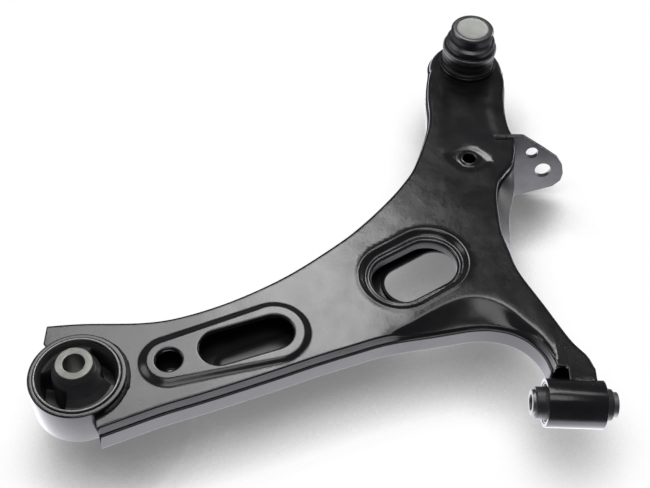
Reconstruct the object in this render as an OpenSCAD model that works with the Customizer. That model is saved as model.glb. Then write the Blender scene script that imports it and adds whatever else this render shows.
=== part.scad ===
// Lower control arm with two bushes and a ball joint.
// Origin: centre of the rear bush. +X runs along the swing axis to the
// front bush, +Y points outboard to the ball joint, +Z is up.

/* [Arm shells] */
// Height of the top face above the seam between the shells
shell_up = 13; // [12.5:0.5:13.5]
// Depth of the bottom face below the seam
shell_down = 13; // [12.5:0.5:13.5]
// Sheet thickness of both shells
sheet_t = 3; // [2.6:0.1:3.2]
// Depth of the upper shell's edge below the seam, inside the lower shell
lap_h = 3; // [2.5:0.5:4]
// Height of the lower shell's lip above the seam
lip_h = 4; // [2:0.5:5]
// Height of the raised pad around the two lightening holes
pad_h = 2.5; // [2:0.5:3]
// Depth of the pressed recess around the oval window
recess_d = 2.5; // [1.5:0.5:3]

/* [Rear bush] */
// Outer radius of the welded ring
ring_r = 37; // [36:0.5:38]
// Outer radius of the pressed-in sleeve
rear_sleeve_r = 33; // [32:0.5:34]
// Outer radius of the inner sleeve
rear_inner_r = 14.1; // [13.5:0.1:15]
// Radius of the bolt hole in the inner sleeve
rear_bore_r = 8.2; // [7:0.1:9]
// Length of the inner sleeve
rear_inner_len = 70; // [66:1:74]

/* [Front bush] */
// Position of the front bush along the swing axis
front_x = 378; // [377:0.5:379]
// Outer radius of the welded tube
tube_r = 18.9; // [18.5:0.1:19.2]
// Length of the welded tube
tube_len = 45; // [43:1:47]
// Outer radius of the inner sleeve
front_inner_r = 10; // [9:0.2:11]
// Radius of the bolt hole in the inner sleeve
front_bore_r = 6.15; // [5.2:0.05:7]
// Length of the inner sleeve
front_inner_len = 66; // [62:1:70]

/* [Ball joint] */
// Position of the ball joint axis, forward
ball_x = 318; // [317:0.5:319]
// Position of the ball joint axis, outboard
ball_y = 371; // [370:0.5:372]
// Height of the ball centre
ball_z = 40; // [39.5:0.5:41]
// Radius of the ball
ball_r = 12.5; // [12:0.1:12.6]
// Outer radius of the housing at its closed end
housing_r = 20; // [19.5:0.1:20.5]

/* [Bracket] */
// Thickness of the bracket plate
bracket_t = 5; // [4:0.5:6]
// Lean of the bracket plate from the vertical
bracket_lean = 12; // [10:1:14]
// Radius of the upper hole in the bracket
bracket_hole_a = 5.5; // [4:0.1:6]
// Radius of the lower hole in the bracket
bracket_hole_b = 7.25; // [6:0.05:8]

/* [Hidden] */
$fn = 96;

black_coat = [0.07, 0.07, 0.08];
grey_steel = [0.72, 0.72, 0.70];
dark_rubber = [0.05, 0.05, 0.05];
fit_gap = 0.05;
head_r = 34;
boss_r = 16;
recess_r = 30;
pad_r_small = 20;
pad_r_wide = 27;
tube_wall = 2.9;
seam_steps = 4;

// Front edge of the top face, from the rear bush to the right leg.
front_common = [[20, -42], [36, -34.5], [64, -21.5], [93, -10], [122, 2], [152, 14.8], [182, 28], [208, 38.5]];
front_crest = [[228, 46.5], [246, 56.5], [269, 74.5], [286, 85.5], [303, 90.5], [319, 89], [334, 80], [347, 65], [358, 51], [365, 38], [366, 26]];
front_lip = [[228, 44.5], [246, 50], [269, 56.5], [286, 60.5], [303, 64.3], [319, 65.5], [334, 63], [346, 57.5], [355, 49.5], [362, 39], [366, 26]];
// Outer edge of the right leg and the neck, up to the head.
outer_low = [[394, 26], [390, 36], [378.5, 51], [361, 84.5], [344, 117]];
outer_crest = [[338, 139], [333.5, 159], [332.5, 178], [332.7, 201], [336, 218.5], [343, 231], [350, 242], [353.5, 258], [353.5, 272]];
outer_flare = [[342, 139], [343, 159], [344, 178], [345.5, 197], [349, 214], [352.5, 231], [353.5, 245], [353.5, 258], [353.5, 272]];
outer_high = [[350, 286], [348.5, 304], [349, 324], [351, 345], [351.5, 365]];
// Back edge, from the head down to the rear bush.
back_edge = [[284.5, 365], [281.5, 345], [280, 322], [280.5, 298], [276.5, 272], [264, 232], [252, 209], [237, 187], [217, 162], [196, 140], [156, 105.5], [115, 79], [76, 61], [44, 53], [-4, 50], [-31.5, 46.5]];

function spline_point(a, b, c, d, t) =
    0.5 * (2 * b + (c - a) * t + (2 * a - 5 * b + 4 * c - d) * t * t + (3 * b - a - 3 * c + d) * t * t * t);

function smooth(p, n = seam_steps) = concat(
    [for (i = [0:len(p) - 2], k = [0:n - 1])
        spline_point(p[max(i - 1, 0)], p[i], p[i + 1], p[min(i + 2, len(p) - 1)], k / n)],
    [p[len(p) - 1]]);

function unit(v) = v / norm(v);

// Moves an open curve sideways: positive d goes to the right of its travel.
function shift(p, d) = [for (i = [0:len(p) - 1])
    let (t = unit(p[min(i + 1, len(p) - 1)] - p[max(i - 1, 0)])) p[i] + d * [t[1], -t[0]]];

function arc(c, r, a0, a1, n) = [for (k = [0:n]) c + r * [cos(a0 + (a1 - a0) * k / n), sin(a0 + (a1 - a0) * k / n)]];

function front_curve(scooped) = smooth(concat(front_common, scooped ? front_crest : front_lip));
function outer_curve(flared) = smooth(concat(outer_low, flared ? outer_flare : outer_crest, outer_high));
function head_curve(d) = arc([318, 371], head_r + d, -9, 189, 36);

// Brings the last point of a curve back to the sawn end of the rear ear.
function square_end(p) = concat([for (i = [0:len(p) - 2]) p[i]], [[-31.5, p[len(p) - 1][1]]]);

// Closed outline of a shell. top picks the crest of the pressed scoops,
// and d is how far the outline stands outside the top face's own edge.
function outline(top, d) = concat(
    [[14, -30]],
    shift(front_curve(top), d),
    [[376 - d, 26 - d], [376 - d, 3], [394 + d, 3]],
    shift(outer_curve(!top), d),
    head_curve(d),
    square_end(shift(smooth(back_edge), d)),
    [[-31.5, 30], [-23, 23]]);

// Hollow of a shell, open at the rear bush and at the front tube.
function hollow(top, d) = concat(
    [[10, -26]],
    shift(front_curve(top), -d),
    [[366 + d, 20], [376 + d, 20], [376 + d, -4], [394 - d, -4]],
    shift(outer_curve(!top), -d),
    head_curve(-d),
    shift(smooth(back_edge), -d),
    [[-38, 43.5], [-38, 20], [-20, 20]]);

module slab(p, z0, z1) {
    translate([0, 0, z0])
        linear_extrude(height = z1 - z0)
            polygon(p);
}

// Round-ended hole or block between two centres.
module capsule(a, b, r, z0, z1) {
    d = b - a;
    translate([a[0], a[1], z0])
        rotate([0, 0, atan2(d[1], d[0])])
            linear_extrude(height = z1 - z0)
                union() {
                    circle(r = r);
                    translate([norm(d), 0])
                        circle(r = r);
                    translate([0, -r])
                        square([norm(d), 2 * r]);
                }
}

// Holes of the arm.
small_c = [66.5, 18.5];
slot_a = [104.5, 31.5];
slot_b = [145.5, 47.5];
oval_a = [246.5, 107.5];
oval_b = [271, 124];
low_a = [254, 115];
low_b = [280, 133];
locate_c = [312, 244];

// Outline of the raised pad: narrow at the small hole, wide at the slot.
pad_axis = atan2(slot_b[1] - small_c[1], slot_b[0] - small_c[0]);
pad_taper = asin((pad_r_wide - pad_r_small) / norm(slot_b - small_c));
function pad_outline(d) = concat(
    arc(slot_b, pad_r_wide + d, pad_axis - 90 - pad_taper, pad_axis + 90 + pad_taper, 16),
    arc(small_c, pad_r_small + d, pad_axis + 90 + pad_taper, pad_axis + 270 - pad_taper, 12));

module ring_cut() {
    translate([0, 0, -40])
        cylinder(h = 80, r = ring_r);
}

module tube_cut() {
    translate([front_x - 40, 0, 0])
        rotate([0, 90, 0])
            cylinder(h = 80, r = tube_r);
}

module boss_cut() {
    translate([ball_x, ball_y, -20])
        cylinder(h = 40, r = boss_r);
}

module bracket_blank(grow = 0) {
    translate([0, 272, 13])
        rotate([90 - bracket_lean, 0, 0])
            translate([0, 0, -bracket_t - grow])
                linear_extrude(height = bracket_t + 2 * grow)
                    polygon([[336, 0.5], [364, 1], [385, -12], [399, -21.5], [404, -28], [406.5, -38], [405.5, -46], [399, -53], [365, -66], [348, -60], [336, -48]]);
}

module upper_shell() {
    color(black_coat)
        difference() {
            union() {
                slab(outline(false, 0), -lap_h, lip_h);
                slab(outline(true, 0), lip_h, shell_up);
                slab(pad_outline(0), shell_up, shell_up + pad_h);
                translate([locate_c[0], locate_c[1], shell_up])
                    cylinder(h = 1.5, r = 8.5);
            }
            difference() {
                union() {
                    slab(hollow(false, sheet_t), -lap_h - 1, lip_h - sheet_t);
                    slab(hollow(true, sheet_t), -lap_h - 1, shell_up - sheet_t);
                }
                capsule(oval_a, oval_b, 23.5 + sheet_t, 0, shell_up);
                capsule(oval_a, oval_b, recess_r + 1, shell_up - sheet_t - recess_d, shell_up);
            }
            capsule(oval_a, oval_b, recess_r, shell_up - recess_d, shell_up + 1);
            slab(pad_outline(-sheet_t), shell_up - sheet_t - 1, shell_up + pad_h - sheet_t);
            translate([small_c[0], small_c[1], 0])
                cylinder(h = 30, r = 9.9);
            capsule(slot_a, slot_b, 15.75, 0, 30);
            capsule(oval_a, oval_b, 23.5, -20, 30);
            translate([locate_c[0], locate_c[1], 0])
                cylinder(h = 30, r = 5.8);
            bracket_blank();
            ring_cut();
            tube_cut();
            boss_cut();
        }
}

module lower_shell() {
    color(black_coat)
        difference() {
            slab(outline(false, sheet_t), -shell_down, lip_h);
            slab(hollow(false, 0), -shell_down + sheet_t, -lap_h);
            slab(outline(false, 0), -lap_h, lip_h + 1);
            translate([small_c[0], small_c[1], -30])
                cylinder(h = 30, r = 6.5);
            capsule(low_a, low_b, 19, -30, 0);
            bracket_blank();
            ring_cut();
            tube_cut();
            boss_cut();
        }
}

module rear_bush_ring() {
    color(black_coat)
        translate([0, 0, -17])
            difference() {
                cylinder(h = 36, r = ring_r);
                translate([0, 0, -1])
                    cylinder(h = 38, r = rear_sleeve_r);
            }
}

module ring_bead(z, up, a0, a1) {
    rotate([0, 0, a0])
        rotate_extrude(angle = a1 - a0)
            polygon([[ring_r, z], [ring_r + 3.5, z], [ring_r, z + up * 3.5]]);
}

module ring_weld_upper() {
    color(black_coat)
        ring_bead(shell_up, 1, -50, 122);
}

module ring_weld_lower() {
    color(black_coat)
        ring_bead(-shell_down, -1, -50, 122);
}

module front_bush_tube() {
    color(black_coat)
        translate([front_x - tube_len / 2, 0, 0])
            rotate([0, 90, 0])
                difference() {
                    cylinder(h = tube_len, r = tube_r);
                    translate([0, 0, -1])
                        cylinder(h = tube_len + 2, r = tube_r - tube_wall);
                }
}

module tube_bead(side) {
    z = side > 0 ? shell_up : -shell_down;
    difference() {
        translate([377, 0, 0])
            rotate([90, 0, 90])
                linear_extrude(height = 16)
                    polygon([[7, z], [17.5, z], [8.5, z + side * 4.5], [7, z + side * 4.5]]);
        tube_cut();
    }
}

module tube_weld_upper() {
    color(black_coat)
        tube_bead(1);
}

module tube_weld_lower() {
    color(black_coat)
        tube_bead(-1);
}

module stabiliser_bracket() {
    color(black_coat)
        difference() {
            bracket_blank();
            translate([0, 272, 13])
                rotate([90 - bracket_lean, 0, 0]) {
                    translate([374, -16, -20])
                        cylinder(h = 40, r = bracket_hole_a);
                    translate([387, -35, -20])
                        cylinder(h = 40, r = bracket_hole_b);
                }
        }
}

module bracket_weld() {
    color(black_coat)
        difference() {
            translate([337, 0, 0])
                rotate([90, 0, 90])
                    linear_extrude(height = 15)
                        polygon([[268, 13], [273, 13], [272.6, 15.4], [270.5, 15.4]]);
            bracket_blank();
        }
}

module ball_stud_boss() {
    color(black_coat)
        translate([ball_x, ball_y, 0])
            difference() {
                translate([0, 0, -shell_down])
                    cylinder(h = shell_up + shell_down, r = boss_r);
                translate([0, 0, -shell_down])
                    cylinder(h = shell_up + shell_down, r1 = 7, r2 = 8);
            }
}

module ball_stud() {
    color(grey_steel)
        translate([ball_x, ball_y, 0])
            difference() {
                union() {
                    translate([0, 0, -31])
                        cylinder(h = 31 - shell_down, r = 6);
                    translate([0, 0, -shell_down])
                        cylinder(h = shell_up + shell_down, r1 = 7, r2 = 8);
                    translate([0, 0, shell_up])
                        cylinder(h = 8, r1 = 8, r2 = 6.5);
                    translate([0, 0, shell_up + 8])
                        cylinder(h = ball_z - shell_up - 8, r = 6.5);
                    translate([0, 0, ball_z])
                        sphere(r = ball_r);
                }
                translate([-20, 0, -25])
                    rotate([0, 90, 0])
                        cylinder(h = 40, r = 1.6, $fn = 32);
            }
}

module castle_nut() {
    color(grey_steel)
        translate([ball_x, ball_y, -shell_down - 14])
            difference() {
                union() {
                    translate([0, 0, 5])
                        cylinder(h = 9, r = 11 / cos(30), $fn = 6);
                    cylinder(h = 5, r = 9.8);
                }
                translate([0, 0, -1])
                    cylinder(h = 16, r = 6);
                for (a = [0:60:120])
                    rotate([0, 0, a])
                        translate([-15, -1.75, -1])
                            cube([30, 3.5, 5]);
            }
}

module cotter_pin() {
    color(grey_steel)
        translate([ball_x, ball_y, -25])
            union() {
                translate([-13.5, 0, 0])
                    rotate([0, 90, 0])
                        cylinder(h = 25, r = 1.4, $fn = 32);
                translate([13, 0, 0])
                    rotate([90, 0, 0])
                        rotate_extrude($fn = 48)
                            translate([1.6, 0])
                                circle(r = 0.9, $fn = 24);
            }
}

module rear_bush_outer_sleeve() {
    color(grey_steel)
        translate([0, 0, -18])
            difference() {
                cylinder(h = 38.5, r = rear_sleeve_r);
                translate([0, 0, -1])
                    cylinder(h = 41, r = rear_sleeve_r - 2.2);
            }
}

module rear_bush_rubber() {
    in_r = rear_inner_r + fit_gap;
    out_r = rear_sleeve_r - 2.2;
    color(dark_rubber)
        difference() {
            rotate_extrude()
                polygon([[in_r, -27], [18, -26], [27, -15], [out_r, -15], [out_r, 17], [27, 17], [18, 27], [in_r, 28]]);
            for (a = [-5, 175])
                rotate([0, 0, a])
                    rotate_extrude(angle = 80)
                        polygon([[20, -40], [27.5, -40], [27.5, 40], [20, 40]]);
        }
}

module rear_bush_inner_sleeve() {
    h = rear_inner_len / 2;
    color(grey_steel)
        rotate_extrude()
            polygon([[rear_bore_r, 0.4 - h], [rear_bore_r + 0.4, -h], [rear_inner_r - 0.6, -h], [rear_inner_r, 0.6 - h],
                     [rear_inner_r, h - 0.6], [rear_inner_r - 0.6, h], [rear_bore_r + 0.4, h], [rear_bore_r, h - 0.4]]);
}

module front_bush_outer_sleeve() {
    color(grey_steel)
        translate([front_x - tube_len / 2 + 0.5, 0, 0])
            rotate([0, 90, 0])
                difference() {
                    cylinder(h = tube_len - 1, r = tube_r - tube_wall);
                    translate([0, 0, -1])
                        cylinder(h = tube_len + 2, r = tube_r - tube_wall - 1.5);
                }
}

module front_bush_rubber() {
    in_r = front_inner_r + fit_gap;
    out_r = tube_r - tube_wall - 1.5;
    color(dark_rubber)
        translate([front_x, 0, 0])
            rotate([0, 90, 0])
                rotate_extrude()
                    polygon([[in_r, -30], [12, -30], [12, -24], [out_r, -20], [out_r, 20], [12, 24], [12, 29], [in_r, 29]]);
}

module front_bush_inner_sleeve() {
    h = front_inner_len / 2;
    color(grey_steel)
        translate([front_x, 0, 0])
            rotate([0, 90, 0])
                rotate_extrude()
                    polygon([[front_bore_r, 0.4 - h], [front_bore_r + 0.4, -h], [front_inner_r - 0.5, -h], [front_inner_r, 0.5 - h],
                             [front_inner_r, h - 0.5], [front_inner_r - 0.5, h], [front_bore_r + 0.4, h], [front_bore_r, h - 0.4]]);
}

module at_ball() {
    translate([ball_x, ball_y, ball_z])
        children();
}

module ball_liner_lower() {
    color("ivory")
        at_ball()
            difference() {
                intersection() {
                    sphere(r = ball_r + 1.7);
                    translate([0, 0, -7])
                        cylinder(h = 4.3, r = 20);
                }
                sphere(r = ball_r + 0.3);
            }
}

module ball_liner_upper() {
    color("ivory")
        at_ball()
            difference() {
                translate([0, 0, 0.3])
                    cylinder(h = 12.3, r = ball_r + 1.7);
                sphere(r = ball_r + 0.3);
                cylinder(h = 20, r = 4);
            }
}

module boot_clamp_ring() {
    color(black_coat)
        at_ball()
            rotate_extrude()
                polygon([[24.1, -9], [25.3, -9], [25.3, -4], [24.1, -4]]);
}

module ball_joint_housing() {
    cavity_r = ball_r + 2;
    top = 17;
    color(black_coat)
        at_ball()
            difference() {
                rotate_extrude()
                    polygon([[0, -10], [20.5, -10], [20.5, -3], [22.9, -2], [22.9, 4], [19, 5], [19, 7.5], [housing_r, 8.5],
                             [housing_r, top - 2], [housing_r - 1.5, top - 0.4], [housing_r - 3.5, top], [0, top]]);
                sphere(r = cavity_r);
                cylinder(h = 14, r = cavity_r);
                translate([0, 0, 14])
                    cylinder(h = 2.2, r = 16);
                cylinder(h = 20, r = 15);
                translate([0, 0, -11])
                    cylinder(h = 11, r1 = 15.2, r2 = 0);
            }
}

module preload_disc() {
    color(grey_steel)
        at_ball()
            translate([0, 0, 12.9])
                difference() {
                    cylinder(h = 1.1, r = ball_r + 1.7);
                    translate([0, 0, -1])
                        cylinder(h = 4, r = 4);
                }
}

module ball_joint_end_plate() {
    color(grey_steel)
        at_ball()
            translate([0, 0, 14])
                union() {
                    cylinder(h = 2.2, r = 16);
                    cylinder(h = 2.5, r = 15);
                }
}

module dust_boot() {
    color(dark_rubber)
        at_ball()
            rotate_extrude()
                polygon([[21.4, -26.8], [24.3, -26.8], [24.3, -23.6], [23.2, -21.6], [24.8, -18], [24.9, -10.4], [24, -9.2],
                         [24, -3.6], [20.8, -3.6], [20.8, -9.8], [22.9, -11], [22.8, -17.4], [20.8, -21.6]]);
}

module boot_lower_ring() {
    color(black_coat)
        translate([ball_x, ball_y, shell_up])
            difference() {
                cylinder(h = 3, r = 27);
                translate([0, 0, -1])
                    cylinder(h = 5, r = 24.5);
            }
}

upper_shell();
lower_shell();
rear_bush_ring();
ring_weld_upper();
ring_weld_lower();
front_bush_tube();
tube_weld_upper();
tube_weld_lower();
stabiliser_bracket();
bracket_weld();
ball_stud_boss();
ball_stud();
castle_nut();
cotter_pin();
rear_bush_outer_sleeve();
rear_bush_rubber();
rear_bush_inner_sleeve();
front_bush_outer_sleeve();
front_bush_rubber();
front_bush_inner_sleeve();
ball_liner_lower();
ball_liner_upper();
boot_clamp_ring();
ball_joint_housing();
preload_disc();
ball_joint_end_plate();
dust_boot();
boot_lower_ring();
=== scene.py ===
import bpy
import math
import numpy as np
from mathutils import Matrix, Vector
from mathutils.geometry import delaunay_2d_cdt


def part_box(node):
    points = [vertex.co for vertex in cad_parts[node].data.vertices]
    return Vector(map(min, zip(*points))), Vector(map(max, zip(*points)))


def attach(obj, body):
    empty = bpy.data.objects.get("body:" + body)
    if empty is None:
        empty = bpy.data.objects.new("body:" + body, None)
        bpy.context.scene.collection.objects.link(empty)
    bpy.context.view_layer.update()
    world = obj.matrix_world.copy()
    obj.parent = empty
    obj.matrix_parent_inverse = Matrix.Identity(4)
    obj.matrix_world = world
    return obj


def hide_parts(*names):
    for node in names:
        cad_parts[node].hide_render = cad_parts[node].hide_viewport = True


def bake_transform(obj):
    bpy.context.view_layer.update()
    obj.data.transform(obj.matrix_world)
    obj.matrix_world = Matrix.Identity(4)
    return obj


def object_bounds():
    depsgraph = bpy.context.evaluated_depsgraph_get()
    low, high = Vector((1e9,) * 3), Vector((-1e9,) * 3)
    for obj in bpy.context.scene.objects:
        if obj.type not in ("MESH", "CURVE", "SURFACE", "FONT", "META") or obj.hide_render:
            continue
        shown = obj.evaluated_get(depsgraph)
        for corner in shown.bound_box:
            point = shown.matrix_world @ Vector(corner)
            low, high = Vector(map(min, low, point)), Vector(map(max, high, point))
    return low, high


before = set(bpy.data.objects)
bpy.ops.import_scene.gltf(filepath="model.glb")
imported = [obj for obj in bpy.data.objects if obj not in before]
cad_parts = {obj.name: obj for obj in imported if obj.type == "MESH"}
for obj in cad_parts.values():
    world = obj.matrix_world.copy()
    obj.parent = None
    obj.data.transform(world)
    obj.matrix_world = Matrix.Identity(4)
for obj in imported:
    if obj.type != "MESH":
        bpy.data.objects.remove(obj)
cad_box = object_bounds()
MM = 0.001


def mid(node):
    """Middle of a CAD node's box, in mm."""
    lo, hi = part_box(node)
    return (np.array(lo) + np.array(hi)) / 2 / MM


FRONT_X = float(mid("front_bush_tube")[0])
BALL = mid("ball_joint_end_plate")[:2]
BALL_Z = 40.0      # height of the ball's centre above the seam
TOP = 13.0         # height of each shell's flat face from the seam
RING_R = 37.0
HEAD_R = 34.0
WINDOW_R = 23.5
LOW_WINDOW_R = 19
SMALL_R = 9.9
LOCATE_R = 5.8
DISH_R = 31.5


# ---------------------------------------------------------------- curves
def smooth(points, n=8):
    """A spline through the points, with n steps between two of them."""
    p = np.array(points, float)
    out = []
    for i in range(len(p) - 1):
        a, b, c, d = p[max(i - 1, 0)], p[i], p[i + 1], p[min(i + 2, len(p) - 1)]
        for k in range(n):
            t = k / n
            square = (2 * a - 5 * b + 4 * c - d) * t * t
            cube = (3 * b - a - 3 * c + d) * t ** 3
            out.append(0.5 * (2 * b + (c - a) * t + square + cube))
    out.append(p[-1])
    return np.array(out)


def normals(p, closed=False):
    """Unit vectors to the right of the direction of travel."""
    if closed:
        t = np.roll(p, -1, 0) - np.roll(p, 1, 0)
    else:
        t = np.gradient(p, axis=0)
    t /= np.maximum(np.linalg.norm(t, axis=1), 1e-9)[:, None]
    return np.stack([t[:, 1], -t[:, 0]], 1)


def shift(p, d, closed=False):
    """Moves a curve to its right by d."""
    return p + normals(p, closed) * np.reshape(d, (-1, 1))


def resample(p, step, closed=False):
    """The same curve with points about one step apart."""
    p = np.array(p, float)
    q = np.vstack([p, p[:1]]) if closed else p
    s = np.concatenate([[0], np.cumsum(np.linalg.norm(np.diff(q, axis=0), axis=1))])
    n = max(2, int(round(s[-1] / step)))
    t = np.linspace(0, s[-1], n + 1)
    if closed:
        t = t[:-1]
    return np.stack([np.interp(t, s, q[:, k]) for k in range(q.shape[1])], 1)


def arc(c, r, a0, a1, n):
    a = np.radians(np.linspace(a0, a1, n + 1))
    return np.stack([c[0] + r * np.cos(a), c[1] + r * np.sin(a)], 1)


def capsule(a, b, ra, rb=None, step=1.2):
    """Closed outline round two circles, anticlockwise."""
    rb = ra if rb is None else rb
    a, b = np.array(a, float), np.array(b, float)
    d = b - a
    base = math.degrees(math.atan2(d[1], d[0]))
    length = np.linalg.norm(d)
    tilt = math.degrees(math.asin((ra - rb) / max(length, 1e-9))) if length > 1e-6 else 0
    far_end = arc(b, rb, base - 90 + tilt, base + 90 - tilt, 32)
    near_end = arc(a, ra, base + 90 - tilt, base + 270 + tilt, 32)
    return resample(np.vstack([far_end, near_end]), step, True)


def circle_loop(c, r, step=0.9):
    return capsule(c, (c[0] + 1e-4, c[1]), r, None, step)


def seg_dist(q, poly, closed=True):
    """Distance from each point of q to a polyline."""
    a = poly
    b = np.roll(poly, -1, 0)
    if not closed:
        a, b = a[:-1], b[:-1]
    best = np.full(len(q), 1e9)
    for lo in range(0, len(a), 64):
        aa, bb = a[lo:lo + 64], b[lo:lo + 64]
        ab = bb - aa
        L = np.maximum((ab ** 2).sum(1), 1e-12)
        t = np.clip(((q[:, None] - aa[None]) * ab[None]).sum(2) / L[None], 0, 1)
        d = np.linalg.norm(q[:, None] - (aa[None] + t[..., None] * ab[None]), axis=2)
        best = np.minimum(best, d.min(1))
    return best


def inside(q, poly):
    """Whether each point of q lies inside a closed outline."""
    x, y = q[:, 0], q[:, 1]
    odd = np.zeros(len(q), bool)
    a, b = poly, np.roll(poly, -1, 0)
    for (x0, y0), (x1, y1) in zip(a, b):
        if y0 == y1:
            continue
        hit = ((y0 > y) != (y1 > y)) & (x < (x1 - x0) * (y - y0) / (y1 - y0) + x0)
        odd ^= hit
    return odd


def cap_sdf(q, a, b, ra, rb=None):
    """Signed distance to a capsule, tapered if rb is given; negative inside."""
    rb = ra if rb is None else rb
    a, b = np.array(a, float), np.array(b, float)
    d = b - a
    t = np.clip(((q - a) @ d) / max(d @ d, 1e-9), 0, 1)
    return np.linalg.norm(q - (a + t[:, None] * d), axis=1) - (ra + (rb - ra) * t)


def ease(x, lo, hi):
    """0 below lo, 1 above hi, and a smooth step between."""
    t = np.clip((x - lo) / (hi - lo), 0, 1)
    return t * t * (3 - 2 * t)


# ---------------------------------------------------------------- meshes
def make(name, verts, faces, material, body, node, smooth_angle=None):
    me = bpy.data.meshes.new(name)
    me.from_pydata((np.array(verts, float) * MM).tolist(), [], [list(map(int, f)) for f in faces])
    me.update()
    me.validate()
    o = bpy.data.objects.new(name, me)
    bpy.context.scene.collection.objects.link(o)
    me.materials.append(material)
    me.shade_smooth()
    if smooth_angle is not None:
        me.set_sharp_from_angle(angle=math.radians(smooth_angle))
    if body:
        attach(o, body)
    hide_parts(node)
    return o


def rounded(points, radii, n=5):
    """A closed profile with its corners rounded."""
    p = np.array(points, float)
    m = len(p)
    out = []
    for i in range(m):
        r = radii if np.isscalar(radii) else radii[i]
        if r <= 0:
            out.append(p[i])
            continue
        u = p[i - 1] - p[i]
        v = p[(i + 1) % m] - p[i]
        lu, lv = np.linalg.norm(u), np.linalg.norm(v)
        u, v = u / lu, v / lv
        cosang = np.clip(u @ v, -1, 1)
        half = math.acos(cosang) / 2
        if half > math.radians(88):
            out.append(p[i])
            continue
        cut = min(r / math.tan(half), 0.48 * lu, 0.48 * lv)
        rr = cut * math.tan(half)
        c = p[i] + (u + v) / np.linalg.norm(u + v) * (rr / math.sin(half))
        s, e = p[i] + u * cut, p[i] + v * cut
        a0 = math.atan2(*(s - c)[::-1])
        a1 = math.atan2(*(e - c)[::-1])
        da = (a1 - a0 + math.pi) % (2 * math.pi) - math.pi
        for k in range(n + 1):
            a = a0 + da * k / n
            out.append(c + rr * np.array([math.cos(a), math.sin(a)]))
    return np.array(out)


def lathe(profile, centre=(0, 0, 0), axis="z", n=128):
    """Turns a closed (r, z) profile round an axis; returns vertices and faces."""
    pr = np.array(profile, float)
    m = len(pr)
    a = np.linspace(0, 2 * np.pi, n, endpoint=False)
    v = np.zeros((n, m, 3))
    r = np.repeat(pr[None, :, 0], n, 0)
    z = np.repeat(pr[None, :, 1], n, 0)
    v[..., 0] = r * np.cos(a)[:, None]
    v[..., 1] = r * np.sin(a)[:, None]
    v[..., 2] = z
    v = v.reshape(-1, 3)
    if axis == "x":
        v = v[:, [2, 0, 1]]
    v = v + np.array(centre, float)
    faces = []
    for i in range(n):
        j = (i + 1) % n
        for k in range(m):
            l = (k + 1) % m
            faces.append((i * m + k, j * m + k, j * m + l, i * m + l))
    return v, faces


def spin(name, profile, material, body, node, centre=(0, 0, 0), axis="z", r=0.6, sharp=35):
    """A turned piece; r is the radius of its corners, one for all or one for each."""
    p = rounded(profile, r)
    area = 0.5 * np.sum(p[:, 0] * np.roll(p[:, 1], -1) - np.roll(p[:, 0], -1) * p[:, 1])
    if area < 0:
        p = p[::-1]
    v, f = lathe(p, centre, axis)
    make(name, v, f, material, body, node, sharp)


# ---------------------------------------------------------------- materials
def tree(name):
    """A new material, its node tree and its shader."""
    m = bpy.data.materials.new(name)
    m.use_nodes = True
    nt = m.node_tree
    for x in list(nt.nodes):
        nt.nodes.remove(x)
    out = nt.nodes.new("ShaderNodeOutputMaterial")
    b = nt.nodes.new("ShaderNodeBsdfPrincipled")
    nt.links.new(b.outputs[0], out.inputs[0])
    return m, nt, b


def add(nt, kind, **kw):
    """A new node, with its inputs or its settings given by name."""
    x = nt.nodes.new(kind)
    for k, v in kw.items():
        if k in x.inputs:
            x.inputs[k].default_value = v
        else:
            setattr(x, k, v)
    return x


def coords(nt):
    return add(nt, "ShaderNodeTexCoord").outputs["Object"]


def noise(nt, vec, scale, detail=4.0, rough=0.55):
    x = add(nt, "ShaderNodeTexNoise", Scale=scale, Detail=detail, Roughness=rough)
    nt.links.new(vec, x.inputs["Vector"])
    return x.outputs["Fac"]


def ramp(nt, fac, stops):
    x = add(nt, "ShaderNodeValToRGB")
    e = x.color_ramp.elements
    while len(e) < len(stops):
        e.new(0.5)
    for el, (pos, col) in zip(e, stops):
        el.position = pos
        el.color = (*col, 1) if len(col) == 3 else col
    nt.links.new(fac, x.inputs["Fac"])
    return x.outputs["Color"]


def maths(nt, op, a, b=None):
    x = add(nt, "ShaderNodeMath", operation=op)
    for k, v in enumerate((a, b)):
        if v is None:
            continue
        if isinstance(v, (int, float)):
            x.inputs[k].default_value = v
        else:
            nt.links.new(v, x.inputs[k])
    return x.outputs[0]


def mix(nt, fac, a, b):
    x = add(nt, "ShaderNodeMix", data_type="RGBA")
    for sock, v in ((x.inputs["Factor"], fac), (x.inputs["A"], a), (x.inputs["B"], b)):
        if isinstance(v, (int, float)):
            sock.default_value = v
        elif isinstance(v, tuple):
            sock.default_value = (*v, 1)
        else:
            nt.links.new(v, sock)
    return x.outputs["Result"]


def bump(nt, b, height, strength, dist):
    x = add(nt, "ShaderNodeBump", Strength=strength, Distance=dist)
    nt.links.new(height, x.inputs["Height"])
    nt.links.new(x.outputs["Normal"], b.inputs["Normal"])


def grey(v):
    return (v, v, v)


def two_tone(nt, fac, lo, hi, dark, light):
    """Blends two colours where fac goes from lo to hi."""
    return mix(nt, ramp(nt, fac, [(lo, grey(0)), (hi, grey(1))]), dark, light)


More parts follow.
